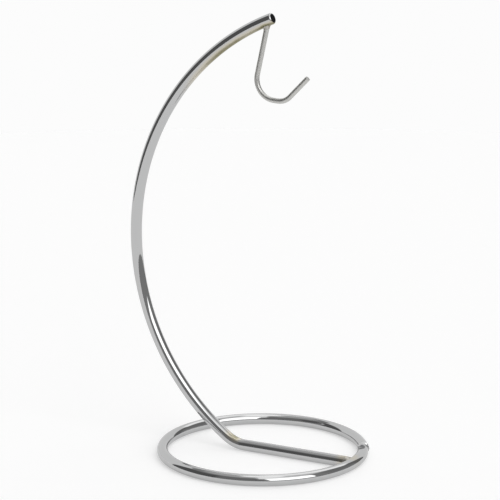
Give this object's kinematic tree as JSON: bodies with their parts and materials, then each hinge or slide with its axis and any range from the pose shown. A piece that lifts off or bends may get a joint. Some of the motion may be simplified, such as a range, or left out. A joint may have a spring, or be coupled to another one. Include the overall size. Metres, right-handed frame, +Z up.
{
  "type": "hanging display stand",
  "caption": "Chrome-plated wire stand: a round rod ring foot, a C-shaped arm rising from the ring's middle, and a small J hook under its free end for hanging one item.",
  "frame": {"origin": "on the floor under the foot bar, at the centre of the base ring", "axes": "+Z up; the arm and the hook lie in the XZ plane, the arm curves out towards -X and the hook opens towards +X; +Y across the ring"},
  "size_m": [0.1363, 0.1123, 0.2337],
  "materials": {
    "rod_chrome": "bright polished chrome plating",
    "hook_chrome": "bright chrome plating over drawn wire",
    "weld_chrome": "chrome plating over an uneven weld bead, duller than the rods"
  },
  "bodies": {
    "root": {"base_ring": "rod_chrome", "stand_arm": "rod_chrome", "hook": "hook_chrome", "ring_weld": "weld_chrome", "foot_weld": "weld_chrome", "hook_weld": "weld_chrome"}
  },
  "joints": []
}
